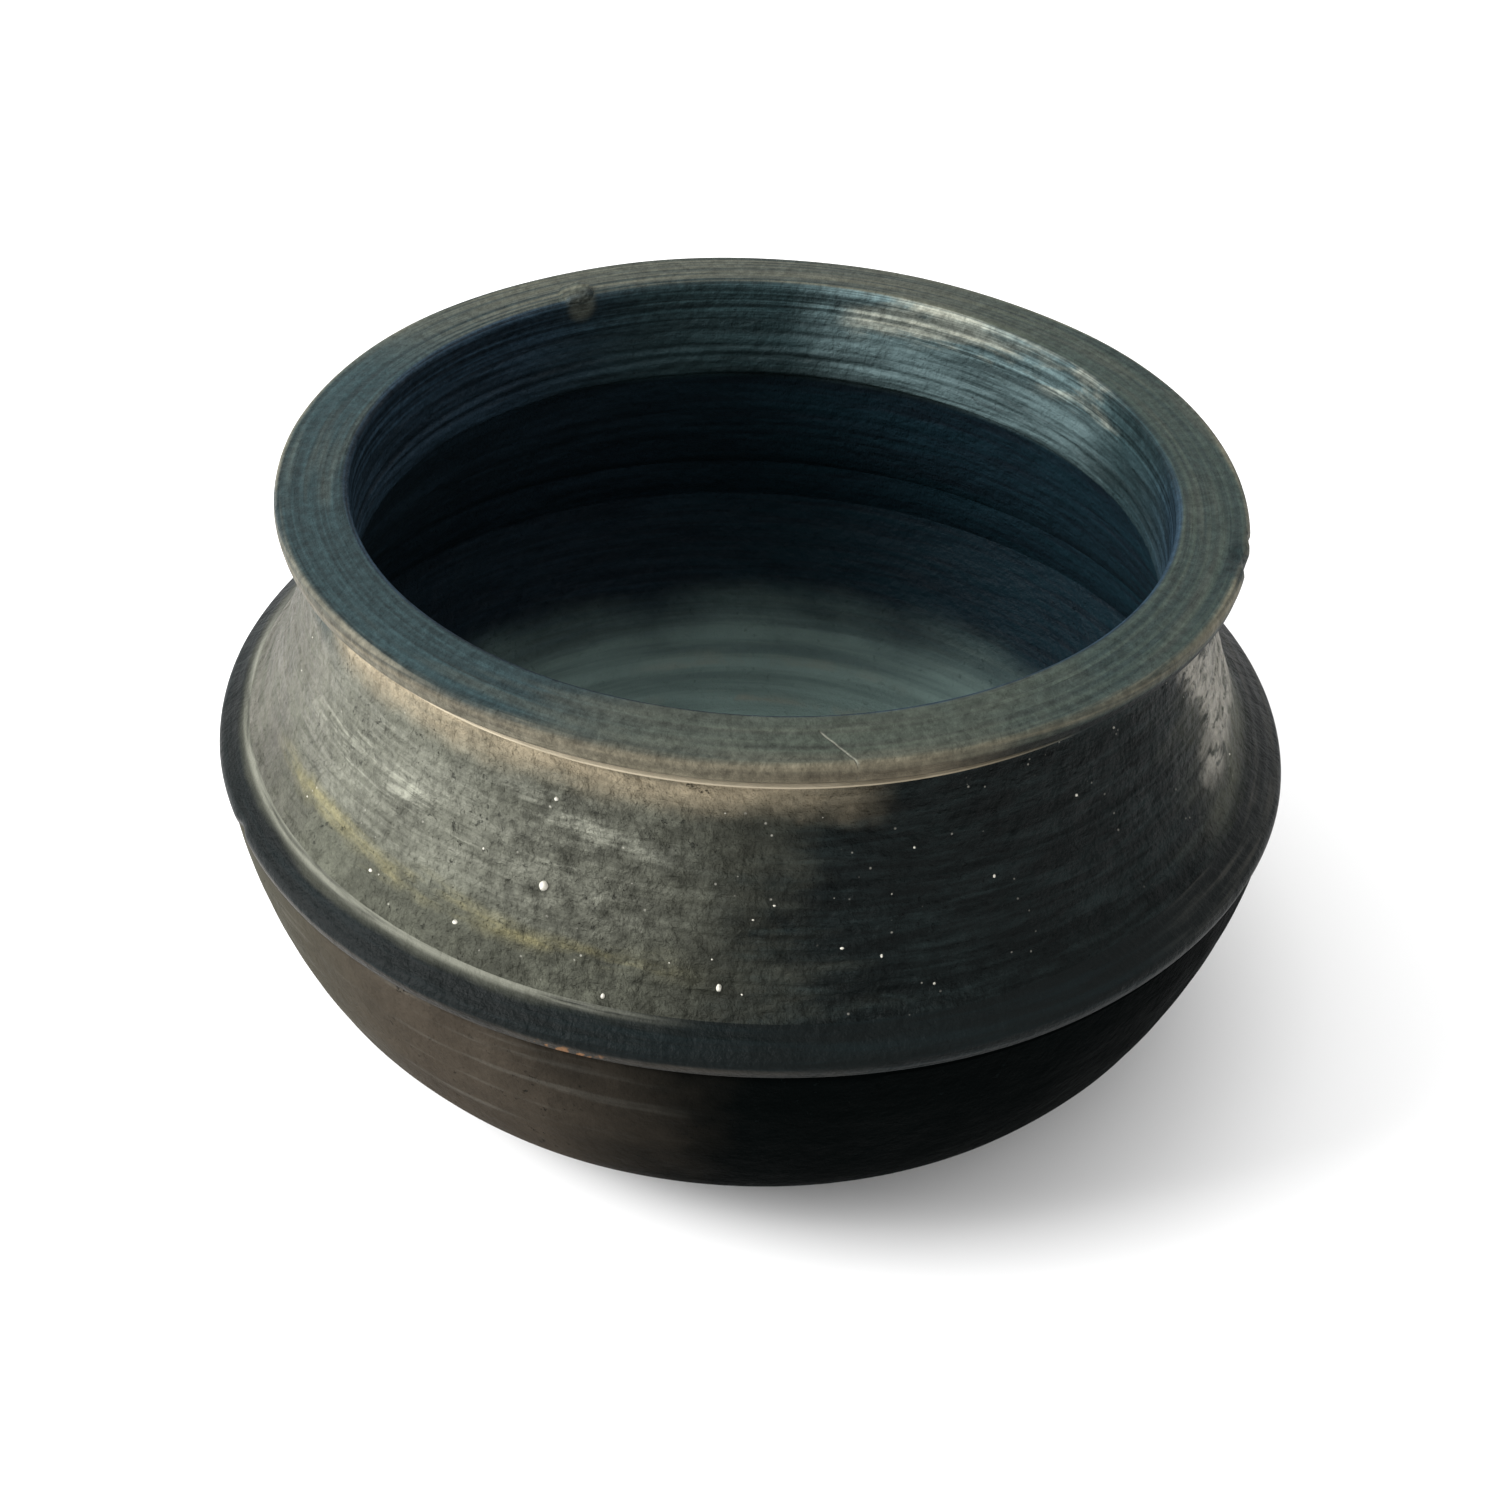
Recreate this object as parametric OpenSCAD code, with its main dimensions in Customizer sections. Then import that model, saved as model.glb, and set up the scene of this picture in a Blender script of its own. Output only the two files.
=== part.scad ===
// Round clay cooking pot: a deep bowl on a small flat base, a raised keel round its
// widest part, a concave shoulder, a short straight neck and a wide flat rim.
// It is built up from clay elements that are luted edge to edge with bevelled joints.
// Millimetres, +Z up. The origin is the centre of the base, on the surface it rests on.

/* [Body] */
// Widest diameter, measured over the keel
keel_d = 230; // [210:1:260]
// Height of the keel's crest above the base
keel_z = 65.5; // [60:0.5:72]
// Height from the base to the top of the rim
pot_h = 122; // [118:1:132]
// Thickness of the bowl and shoulder walls
wall = 8; // [6:0.5:9]
// Height that the base disc stands proud of the bowl's underside
base_lift = 0.8; // [0.5:0.1:1.5]

/* [Rim] */
// How far the lip stands out past the neck
lip_out = 7; // [6:0.5:9]
// Thickness of the lip at its outer edge
lip_h = 4.5; // [4:0.5:5]
// Thickness of the neck, from its outside to the mouth
neck_wall = 7.5; // [7:0.5:9]
// Height of the straight band inside the neck, from the rim down
throat_h = 23; // [18:1:24]

/* [Keel] */
// Radius of the keel's rounded crest
crest_r = 1.8; // [1:0.1:2.2]
// Width of the sloping face above the crest
ledge_w = 3.9; // [3:0.1:4.5]

/* [Surface] */
// Diameter of the largest quartz grain
grit_d = 2.6; // [1.6:0.2:3]
// Width of the clay lump on the mouth's edge
pellet_d = 7; // [4:0.5:8]

/* [Hidden] */
$fn = 96;

// Tangent angles of the outline, in degrees from upright: the bowl leans inwards
// on the way down, and the shoulder leans outwards
side_a = 4;
corner_a = 23;
foot_a = 74.4;
base_joint_a = 87;
neck_a = 15.3;
fillet_a = 25;
hollow_a = 66;
ledge_a = 60;

// Where the wall passes from one element to the next
collar_joint_a = 19.5;
collar_throat_a = 18.3;
keel_joint_a = 54;
crease_a = 56;
coil_top_a = 44;
coil_low_a = 9;
coil_edge_a = 83;
keel_face_a = 12;

// Bowl: three arcs that meet smoothly, with their radii in these proportions
side_part = 12;
corner_part = 4;
foot_part = 10;
bowl_set_in = 0.8;
bowl_drop = 2.6;
bowl_top = [keel_d / 2 - bowl_set_in, keel_z - bowl_drop];
bowl_rise = side_part * (sin(corner_a) - sin(side_a))
            + corner_part * (sin(foot_a) - sin(corner_a))
            + foot_part * (1 - sin(foot_a));
bowl_k = (bowl_top.y - base_lift) / bowl_rise;
side_r = side_part * bowl_k;
corner_r = corner_part * bowl_k;
foot_r = foot_part * bowl_k;
side_c = bowl_top - side_r * lean_in(side_a);
corner_c = side_c + (side_r - corner_r) * lean_in(corner_a);
foot_c = corner_c + (corner_r - foot_r) * lean_in(foot_a);
base_r = foot_c.x;
floor_z = base_lift + wall;
base_bevel = 1.5;
base_coil_reach = 6;
base_coil_swell = 1.4;

// Keel: a sloping face and a rounded crest
crest_c = [keel_d / 2 - crest_r, keel_z];
crest_top = crest_c + crest_r * lean_out(ledge_a);
ledge_top = crest_top - ledge_w * [sin(ledge_a), -cos(ledge_a)];
face_slope = [-0.3, -1.6];
bowl_step = 0.3;
keel_coil_swell = 0.6;
bowl_joint_in = 0.7;
bowl_joint_rise = 0.2;

// Shoulder: a small fillet and one long hollow arc up to the neck
fillet_part = 14;
shoulder_part = 222;
neck_drop = 11;
neck_base_z = pot_h - neck_drop;
shoulder_rise = fillet_part * (sin(hollow_a) - sin(fillet_a))
                + shoulder_part * (sin(fillet_a) - sin(neck_a));
shoulder_k = (neck_base_z - ledge_top.y) / shoulder_rise;
fillet_r = fillet_part * shoulder_k;
shoulder_r = shoulder_part * shoulder_k;
fillet_c = ledge_top + fillet_r * lean_out(hollow_a);
shoulder_c = fillet_c + (shoulder_r - fillet_r) * lean_out(fillet_a);

// Neck and rim
neck_r = (shoulder_c - shoulder_r * lean_out(neck_a)).x;
mouth_r = neck_r - neck_wall;
rim_r = neck_r + lip_out;
mouth_round = 1.8;
lip_round = 1.2;
lip_under_w = 2;
lip_under_rise = 0.5;
groove_drop = 6;
groove_in = 0.4;
groove_z = pot_h - groove_drop;
groove_r = neck_r + groove_in;
mouth_joint_drop = 9;
bead_h = 2.7;
bead_gap = 0.3;
bead_out = 2.6;
bead_low_z = groove_z - bead_h;
throat_flare = 0.3;
throat_z = pot_h - throat_h;
throat_round = 0.8;

// Quartz grains in the shoulder: angle from +X, tangent angle of the wall there, size
GRITS = [[249, 21.8, 1], [240, 24.5, 0.6], [268, 24.5, 0.6], [280, 23.3, 0.5],
         [284, 23.9, 0.6], [228, 24.6, 0.5], [257, 23.8, 0.5], [297, 21, 0.5]];
grit_depth = 1.2;
grit_proud = 0.3;
cut_past = 1;
pellet_turn = 122;
pellet_overhang = 0.6;
pellet_sunk = 1.6;
pellet_crown = 0.9;

// Unit direction out of a wall that leans inwards, or outwards, on the way down
function lean_in(a) = [cos(a), -sin(a)];
function lean_out(a) = [cos(a), sin(a)];

// Points of an arc on the bowl side, and on the hollow shoulder side
function bowl_arc(c, r, a0, a1, n) = [for (i = [0:n]) c + r * lean_in(a0 + (a1 - a0) * i / n)];
function hollow_arc(c, r, a0, a1, n) = [for (i = [0:n]) c - r * lean_out(a0 + (a1 - a0) * i / n)];

// Points of a rounded corner, turning from angle a0 to a1
function corner(c, r, a0, a1, n) = [for (i = [0:n]) c + r * [cos(a0 + (a1 - a0) * i / n),
                                                           sin(a0 + (a1 - a0) * i / n)]];

// Points from p to q that swell by h to the left of the way there
function swell(p, q, h, n) =
    let (way = q - p, side = [-way.y, way.x] / norm(way))
    [for (i = [0:n]) p + way * i / n + side * h * sin(180 * i / n)];

// Joint faces, from the outside of the pot to its inside
base_joint = [foot_c + foot_r * lean_in(base_joint_a), [base_r, floor_z]];
bowl_joint = [bowl_top + [-bowl_joint_in, bowl_joint_rise],
              fillet_c - (fillet_r + wall) * lean_out(crease_a)];
keel_joint = [fillet_c - fillet_r * lean_out(keel_joint_a),
              fillet_c - (fillet_r + wall) * lean_out(fillet_a)];
collar_joint = [shoulder_c - shoulder_r * lean_out(collar_joint_a),
                shoulder_c - (shoulder_r + wall) * lean_out(collar_throat_a)];
rim_joint = [[groove_r, groove_z], [mouth_r, pot_h - mouth_joint_drop]];

// A ring turned from an outline of [radius, height] points
module turned(outline) {
    rotate_extrude() polygon(outline);
}

module base_disc() {
    color([0.13, 0.12, 0.11])
    turned(concat([[0, 0], [base_joint[0].x - base_bevel, 0]], base_joint, [[0, floor_z]]));
}

module lower_bowl() {
    inner_foot_r = foot_r - wall;
    inner_corner_r = corner_r - wall;
    inner_side_r = side_r - wall;
    color([0.25, 0.23, 0.21])
    turned(concat(
        [bowl_joint[1], bowl_joint[0]],
        bowl_arc(side_c, side_r, side_a, corner_a, 8),
        bowl_arc(corner_c, corner_r, corner_a, foot_a, 12),
        bowl_arc(foot_c, foot_r, foot_a, base_joint_a, 4),
        [[base_r, floor_z]],
        bowl_arc(foot_c, inner_foot_r, base_joint_a, coil_edge_a, 2),
        bowl_arc(foot_c, inner_foot_r, coil_edge_a, foot_a, 3),
        bowl_arc(corner_c, inner_corner_r, foot_a, corner_a, 12),
        bowl_arc(side_c, inner_side_r, corner_a, coil_low_a, 6),
        bowl_arc(side_c, inner_side_r, coil_low_a, side_a, 3)
    ));
}

// Low roll of clay smeared over the joint between the base disc and the bowl
module base_lute_coil() {
    inner_foot_r = foot_r - wall;
    outer_edge = foot_c + inner_foot_r * lean_in(coil_edge_a);
    inner_edge = [base_r - base_coil_reach, floor_z];
    color([0.16, 0.17, 0.17])
    turned(concat(
        [inner_edge, [base_r, floor_z]],
        bowl_arc(foot_c, inner_foot_r, base_joint_a, coil_edge_a, 2),
        swell(outer_edge, inner_edge, -base_coil_swell, 10)
    ));
}

module keel_band() {
    inner_fillet_r = fillet_r + wall;
    face_low = crest_c + crest_r * lean_in(keel_face_a);
    color([0.10, 0.12, 0.13])
    turned(concat(
        [keel_joint[1]],
        hollow_arc(fillet_c, fillet_r, keel_joint_a, hollow_a, 4),
        corner(crest_c, crest_r, ledge_a, -keel_face_a, 8),
        [face_low + face_slope, bowl_joint[0] + [bowl_step, 0]],
        bowl_joint,
        hollow_arc(fillet_c, inner_fillet_r, crease_a, coil_top_a, 4),
        hollow_arc(fillet_c, inner_fillet_r, coil_top_a, fillet_a, 5)
    ));
}

// Fillet of clay pressed into the crease behind the keel
module keel_lute_coil() {
    inner_fillet_r = fillet_r + wall;
    inner_side_r = side_r - wall;
    top_edge = fillet_c - inner_fillet_r * lean_out(coil_top_a);
    low_edge = side_c + inner_side_r * lean_in(coil_low_a);
    color([0.12, 0.13, 0.14])
    turned(concat(
        hollow_arc(fillet_c, inner_fillet_r, coil_top_a, crease_a, 4),
        bowl_arc(side_c, inner_side_r, side_a, coil_low_a, 3),
        swell(low_edge, top_edge, keel_coil_swell, 8)
    ));
}

// The shoulder before the seats of its grains are cut
module shoulder_wall_blank() {
    turned(concat(
        [collar_joint[1]],
        hollow_arc(shoulder_c, shoulder_r, collar_joint_a, fillet_a, 8),
        hollow_arc(fillet_c, fillet_r, fillet_a, keel_joint_a, 6),
        hollow_arc(shoulder_c, shoulder_r + wall, fillet_a, collar_throat_a, 8)
    ));
}

module shoulder_wall() {
    color([0.24, 0.25, 0.23])
    difference() {
        shoulder_wall_blank();
        for (g = GRITS) grit_seat(g) cylinder(h = grit_depth + cut_past, d = grit_d * g[2], $fn = 24);
    }
}

// Puts its children in the shoulder's surface, sunk by the depth of a grain
module grit_seat(g) {
    foot = shoulder_c - (shoulder_r + grit_depth) * lean_out(g[1]);
    rotate([0, 0, g[0]]) translate([foot.x, 0, foot.y]) rotate([0, 90 - g[1], 0]) children();
}

module temper_grits() {
    color([0.85, 0.84, 0.78])
    for (g = GRITS)
        grit_seat(g) cylinder(h = grit_depth + grit_proud, d = grit_d * g[2], $fn = 24);
}

module neck_collar() {
    throat_c = [mouth_r + throat_flare + throat_round, throat_z + throat_round];
    color([0.17, 0.21, 0.22])
    turned(concat(
        [rim_joint[1], rim_joint[0], [groove_r, bead_low_z]],
        hollow_arc(shoulder_c, shoulder_r, neck_a, collar_joint_a, 4),
        [collar_joint[1], [throat_c.x, throat_z]],
        corner(throat_c, throat_round, 225, 180, 2)
    ));
}

// Fine ridge of clay left proud under the lip
module neck_bead() {
    low = [groove_r, bead_low_z];
    high = [groove_r, groove_z - bead_gap];
    color([0.42, 0.38, 0.32])
    turned(swell(low, high, -bead_out, 10));
}

module rim_flange() {
    color([0.20, 0.24, 0.24])
    difference() {
        turned(concat(
            [rim_joint[0], rim_joint[1]],
            corner([mouth_r + mouth_round, pot_h - mouth_round], mouth_round, 180, 90, 5),
            corner([rim_r - lip_round, pot_h - lip_round], lip_round, 90, 0, 4),
            corner([rim_r - lip_round, pot_h - lip_h + lip_round], lip_round, 0, -90, 4),
            [rim_joint[0] + [lip_under_w, lip_under_rise]]
        ));
        pellet_seat() cylinder(h = pellet_sunk + cut_past, d = pellet_d, $fn = 32);
    }
}

// Puts its children where the clay lump is pressed into the mouth's edge
module pellet_seat() {
    rotate([0, 0, pellet_turn])
        translate([mouth_r + pellet_d / 2 - pellet_overhang, 0, pot_h - pellet_sunk])
            children();
}

// Small lump of spare clay left on the mouth's edge
module rim_pellet() {
    edge_r = pellet_d / 2;
    color([0.22, 0.23, 0.21])
    pellet_seat() rotate_extrude($fn = 32)
        polygon(concat(
            [[0, 0], [edge_r, 0]],
            [for (a = [0:15:90]) [edge_r * cos(a), pellet_sunk + pellet_crown * sin(a)]]
        ));
}

base_disc();
lower_bowl();
base_lute_coil();
keel_band();
keel_lute_coil();
shoulder_wall();
neck_collar();
neck_bead();
rim_flange();
temper_grits();
rim_pellet();
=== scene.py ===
import math
import random

import bpy
from bpy.props import FloatProperty, FloatVectorProperty, IntProperty, PointerProperty
from mathutils import Matrix, Vector


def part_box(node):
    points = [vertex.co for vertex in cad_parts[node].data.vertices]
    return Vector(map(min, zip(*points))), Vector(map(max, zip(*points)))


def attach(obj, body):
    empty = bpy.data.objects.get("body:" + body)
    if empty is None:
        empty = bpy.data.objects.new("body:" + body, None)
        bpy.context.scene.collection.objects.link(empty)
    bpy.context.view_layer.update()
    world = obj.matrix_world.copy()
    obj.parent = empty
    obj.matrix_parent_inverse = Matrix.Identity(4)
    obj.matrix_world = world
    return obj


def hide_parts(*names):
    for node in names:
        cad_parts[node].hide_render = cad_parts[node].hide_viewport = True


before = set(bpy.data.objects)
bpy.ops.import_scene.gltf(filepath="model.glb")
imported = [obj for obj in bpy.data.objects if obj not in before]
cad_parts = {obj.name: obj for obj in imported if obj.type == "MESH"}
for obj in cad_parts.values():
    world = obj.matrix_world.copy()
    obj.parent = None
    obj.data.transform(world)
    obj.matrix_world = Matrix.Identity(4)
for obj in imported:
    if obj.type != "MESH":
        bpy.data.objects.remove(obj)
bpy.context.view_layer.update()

bl_info = {
    "name": "Clay Cooking Pot",
    "version": (1, 0, 0),
    "blender": (4, 5, 0),
    "location": "View3D > Sidebar > Clay Pot",
    "description": "Models a hand-built, smoke-fired clay cooking pot over its packed parts",
    "category": "Add Mesh",
}

MM = 0.001
KEEL_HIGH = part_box("keel_band")[1]
RIM_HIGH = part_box("rim_flange")[1]
FLOOR_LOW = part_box("base_disc")[0]


# ---------------------------------------------------------------- sizes and colours

def length_prop(name, description, default):
    """A property that holds a length, shown in the scene's own unit."""
    return FloatProperty(name=name, description=description, default=default,
                         unit="LENGTH", min=0.0, precision=5)


def colour_prop(name, description, default):
    """A property that holds a clay colour."""
    return FloatVectorProperty(name=name, description=description, default=default,
                               subtype="COLOR", size=3, min=0.0, max=1.0)


class ClayPotSizes(bpy.types.PropertyGroup):
    """The driving sizes of the pot's outline."""

    keel_radius: length_prop("Keel radius", "Widest radius, over the keel", KEEL_HIGH.x)
    keel_height: length_prop("Keel height", "Height of the keel's crest", 65.5 * MM)
    height: length_prop("Height", "Height of the rim's top", RIM_HIGH.z)
    wall: length_prop("Wall", "Thickness of the bowl and shoulder", 8 * MM)
    base_lift: length_prop("Base lift", "How far the base disc stands proud", 0.8 * MM)
    lip_out: length_prop("Lip reach", "How far the lip stands past the neck", 7 * MM)
    lip_height: length_prop("Lip height", "Thickness of the lip at its edge", 4.5 * MM)
    neck_wall: length_prop("Neck wall", "Thickness of the neck", 7.5 * MM)
    throat: length_prop("Throat", "Height of the straight band inside the neck", 23 * MM)
    crest_radius: length_prop("Crest radius", "Radius of the keel's crest", 1.8 * MM)
    ledge: length_prop("Keel face", "Width of the face above the crest", 3.9 * MM)
    turns: IntProperty(name="Turning steps", description="Steps round the axis",
                       default=720, min=96, max=900)


class ClayPotFinish(bpy.types.PropertyGroup):
    """How uneven the potter left the clay."""

    throwing_line: length_prop("Throwing line", "Height of a throwing line", 0.12 * MM)
    brush_mark: length_prop("Brush mark", "Height of a brushed streak", 0.22 * MM)
    pit: length_prop("Pit", "Depth of a pit in the shoulder", 0.3 * MM)
    wander: length_prop("Wander", "How far the wall wanders from round", 0.35 * MM)
    rim_lean: length_prop("Rim lean", "How far the rim's back stands above its front",
                          4.8 * MM)


class ClayPotColours(bpy.types.PropertyGroup):
    """The clay's colours, from fire-blackened to rubbed bare, some of them also used as painted
    shade and painted highlights.
    """

    # Soot: fire-blackened clay, also used as painted shade on the right, low on the bowl, under
    # the lip and in the pits
    soot: colour_prop("Soot", "Fire-blackened clay", (0.0035, 0.0055, 0.0055))
    slate: colour_prop("Slate", "Blue-green smoked clay", (0.019, 0.036, 0.039))
    navy: colour_prop("Navy", "Deep blue-black inside", (0.010, 0.020, 0.030))
    olive: colour_prop("Olive", "Olive-grey smoked clay", (0.058, 0.060, 0.046))
    # Ash: pale grey, used for scratches and mostly as painted sheen and painted highlights
    ash: colour_prop("Ash", "Pale grey bloom", (0.170, 0.172, 0.140))
    straw: colour_prop("Straw", "Yellowish smear", (0.25, 0.225, 0.115))
    tan: colour_prop("Tan", "Bare tan clay", (0.225, 0.190, 0.130))
    cream: colour_prop("Cream", "Rubbed bright edge", (0.52, 0.45, 0.33))
    taupe: colour_prop("Taupe", "Burnished brown-grey bowl", (0.046, 0.038, 0.029))
    mauve: colour_prop("Mauve", "Grey-mauve streaks", (0.105, 0.100, 0.086))
    moss: colour_prop("Moss", "Green tinge of the rim's right side", (0.029, 0.0372, 0.02668))
    # Mist: a painted highlight inside the neck at the back right
    mist: colour_prop("Mist", "Pale blue-green sweep inside the neck", (0.12, 0.175, 0.18))
    teal: colour_prop("Teal", "Deep green-blue of the inside's right", (0.005, 0.017, 0.024))
    sage: colour_prop("Sage", "Pale green floor inside", (0.175, 0.250, 0.228))
    rust: colour_prop("Rust", "Orange fleck on the keel", (0.30, 0.14, 0.05))
    quartz: colour_prop("Quartz", "White grains", (0.58, 0.56, 0.49))


# The largest quartz grains: degrees from the front, height, radius
GRAINS = [(-21, 87, 1.12), (-2, 75, 0.6), (-30, 75, 0.52), (10, 82, 0.39), (14, 80, 0.39),
          (-21, 103, 0.34), (-13, 71.5, 0.52), (-42, 75, 0.39), (27, 90, 0.34), (4, 113.2, 0.6)]


# ---------------------------------------------------------------- the pot's outline

# Tangent angles of the outline, in degrees from upright
SIDE, CORNER, FOOT, BASE_JOINT, COIL_EDGE = 4, 23, 74.4, 87, 83
NECK, COLLAR, COLLAR_INSIDE, FILLET = 15.3, 19.5, 18.3, 25
KEEL_JOINT, HOLLOW, CREST, KEEL_FACE, CREASE, COIL_TOP, COIL_LOW = 54, 66, 60, 12, 56, 44, 9
# Ratios of the bowl's three arcs, and of the shoulder's two
BOWL_ARCS = (12, 4, 10)
SHOULDER_ARCS = (14, 222)
# Where the joints lie: drops from the rim's top or the keel's crest, and steps inwards
NECK_DROP, GROOVE_DROP, GROOVE_OUT, MOUTH_JOINT_DROP = 11 * MM, 6 * MM, 0.4 * MM, 9 * MM
BOWL_DROP, BOWL_SET_IN, BOWL_JOINT_IN, BOWL_JOINT_RISE = 2.6 * MM, 0.8 * MM, 1.5 * MM, 0.2 * MM
BASE_BEVEL, COIL_REACH, COIL_SWELL, CREASE_SWELL = 1.5 * MM, 6 * MM, 1.4 * MM, 0.6 * MM
BEAD_HEIGHT, BEAD_GAP, MOUTH_ROUND, LIP_ROUND = 3.3 * MM, 0.3 * MM, 1.8 * MM, 1.2 * MM
# Where the potter's accidents are, in degrees from the front towards the right
CHIP_AZIMUTH, SECOND_CHIP_AZIMUTH, NOTCH_AZIMUTH, PELLET_AZIMUTH = 74, 79, -61, -148
PELLET_IN = 2.9 * MM
SHADE_ANGLE = math.radians(40)
CAGE_WIDTH, CAGE_HEIGHT = 260 * MM, 128 * MM


def polar(angle, radius=1.0):
    """A point [radius, height] at an angle in degrees above level."""
    return Vector((math.cos(math.radians(angle)), math.sin(math.radians(angle)))) * radius


def arc(centre, radius, start, end, count):
    """Points along an arc of the outline, from one angle to another."""
    return [centre + polar(start + (end - start) * i / count, radius)
            for i in range(count + 1)]


def sine(angle):
    return math.sin(math.radians(angle))


class Outline:
    """The centres, radii and joints of the pot's section, worked out from its sizes."""

    def __init__(self, s):
        self.s = s
        wall = s.wall
        top = Vector((s.keel_radius - BOWL_SET_IN, s.keel_height - BOWL_DROP))
        side, corner, foot = BOWL_ARCS
        rise = (side * (sine(CORNER) - sine(SIDE)) + corner * (sine(FOOT) - sine(CORNER))
                + foot * (1 - sine(FOOT)))
        scale = (top.y - s.base_lift) / rise
        self.side_r, self.corner_r, self.foot_r = side * scale, corner * scale, foot * scale
        self.side_c = top - polar(-SIDE, self.side_r)
        self.corner_c = self.side_c + polar(-CORNER, self.side_r - self.corner_r)
        self.foot_c = self.corner_c + polar(-FOOT, self.corner_r - self.foot_r)
        self.base_r = self.foot_c.x
        self.floor = s.base_lift + wall

        self.crest_c = Vector((s.keel_radius - s.crest_radius, s.keel_height))
        crest_top = self.crest_c + polar(CREST, s.crest_radius)
        ledge_top = crest_top + polar(90 + CREST, s.ledge)

        fillet, shoulder = SHOULDER_ARCS
        rise = fillet * (sine(HOLLOW) - sine(FILLET)) + shoulder * (sine(FILLET) - sine(NECK))
        scale = (s.height - NECK_DROP - ledge_top.y) / rise
        self.fillet_r, self.shoulder_r = fillet * scale, shoulder * scale
        self.fillet_c = ledge_top + polar(HOLLOW, self.fillet_r)
        self.shoulder_c = self.fillet_c + polar(FILLET, self.shoulder_r - self.fillet_r)

        self.neck_r = (self.shoulder_c - polar(NECK, self.shoulder_r)).x
        self.mouth_r = self.neck_r - s.neck_wall
        self.rim_r = self.neck_r + s.lip_out
        self.groove = Vector((self.neck_r + GROOVE_OUT, s.height - GROOVE_DROP))

        self.base_joint = [self.foot_c + polar(-BASE_JOINT, self.foot_r),
                           Vector((self.base_r, self.floor))]
        self.bowl_joint = [Vector((s.keel_radius - BOWL_JOINT_IN, top.y + BOWL_JOINT_RISE)),
                           self.fillet_c - polar(CREASE, self.fillet_r + wall)]
        self.keel_joint = [self.fillet_c - polar(KEEL_JOINT, self.fillet_r),
                           self.fillet_c - polar(FILLET, self.fillet_r + wall)]
        self.collar_joint = [self.shoulder_c - polar(COLLAR, self.shoulder_r),
                             self.shoulder_c - polar(COLLAR_INSIDE, self.shoulder_r + wall)]
        self.rim_joint = [self.groove, Vector((self.mouth_r, s.height - MOUTH_JOINT_DROP))]

    def bowl_side(self, inset, start, end, count=24):
        """The bowl's side arc, set in by a wall's thickness or by nothing."""
        return arc(self.side_c, self.side_r - inset, -start, -end, count)

    def bowl_corner(self, inset, start, end, count=36):
        return arc(self.corner_c, self.corner_r - inset, -start, -end, count)

    def bowl_foot(self, inset, start, end, count=12):
        return arc(self.foot_c, self.foot_r - inset, -start, -end, count)

    def hollow(self, inset, start, end, count=24):
        """The small fillet between the shoulder and the keel."""
        return arc(self.fillet_c, self.fillet_r + inset, 180 + start, 180 + end, count)

    def shoulder(self, inset, start, end, count=24):
        """The long hollow arc from the keel up to the neck."""
        return arc(self.shoulder_c, self.shoulder_r + inset, 180 + start, 180 + end, count)

    def radius_at(self, height):
        """The shoulder's outside radius at a height."""
        drop = (self.shoulder_c.y - height) / self.shoulder_r
        if drop < sine(FILLET):
            return self.shoulder_c.x - self.shoulder_r * math.sqrt(1 - drop * drop)
        drop = min(0.999, (self.fillet_c.y - height) / self.fillet_r)
        return self.fillet_c.x - self.fillet_r * math.sqrt(1 - drop * drop)


# ---------------------------------------------------------------- turning a ring

def swelling(start, end, rise, count=12):
    """A line from start to end that swells out by a rise at its middle."""
    return [start.lerp(end, i / count) + rise * math.sin(math.pi * i / count)
            for i in range(count + 1)]


def even_points(points, step):
    """The same line with its points an even step apart, ends kept."""
    lengths = [0.0]
    for a, b in zip(points, points[1:]):
        lengths.append(lengths[-1] + (b - a).length)
    count = max(1, round(lengths[-1] / step))
    result, leg = [], 0
    for i in range(count + 1):
        along = lengths[-1] * i / count
        while leg < len(points) - 2 and lengths[leg + 1] < along:
            leg += 1
        span = max(lengths[leg + 1] - lengths[leg], 1e-9)
        share = min(1.0, (along - lengths[leg]) / span)
        result.append(points[leg].lerp(points[leg + 1], share))
    return result


def throwing_lines(points, height, pitch, seed):
    """The line with the small uneven ridges that fingers leave on a turning wall."""
    draw = random.Random(seed)
    waves = [(draw.uniform(0.7, 1.6), draw.uniform(0, math.tau), draw.uniform(0.4, 1))
             for _ in range(4)]
    result, along, total = [], 0.0, sum((b - a).length for a, b in zip(points, points[1:]))
    for i, point in enumerate(points):
        if i:
            along += (point - points[i - 1]).length
        before, after = points[max(0, i - 1)], points[min(len(points) - 1, i + 1)]
        way = (after - before).normalized()
        fade = min(1.0, along / pitch, (total - along) / pitch)
        swell = sum(size * math.sin(math.tau * along / (pitch * stretch) + start)
                    for stretch, start, size in waves) / 2
        result.append(point + Vector((way.y, -way.x)) * swell * height * max(0.0, fade))
    return result


def shown(points, step, lines=0.0, pitch=2 * MM, seed=0, inside=False):
    """A run of the outline that is seen: fine points, each with its surface weight.

    Lines is the height of its throwing lines, as a share of the pot's usual height.
    """
    run = even_points(points, step)
    if lines:
        run = throwing_lines(run, lines * finish().throwing_line, pitch, seed)
    count = len(run)
    return [(p, min(1.0, min(i, count - 1 - i) * step / (0.8 * MM)), inside)
            for i, p in enumerate(run)]


def hidden(points, step=2.5 * MM):
    """A run of the outline that lies in a joint, which stays plain."""
    return [(p, 0.0, False) for p in even_points(points, step)]


def deselect_all():
    bpy.ops.object.select_all(action="DESELECT")


def select_only(piece):
    deselect_all()
    piece.select_set(True)
    bpy.context.view_layer.objects.active = piece


def apply_modifier(piece, modifier):
    select_only(piece)
    bpy.ops.object.modifier_apply(modifier=modifier.name)


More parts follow.
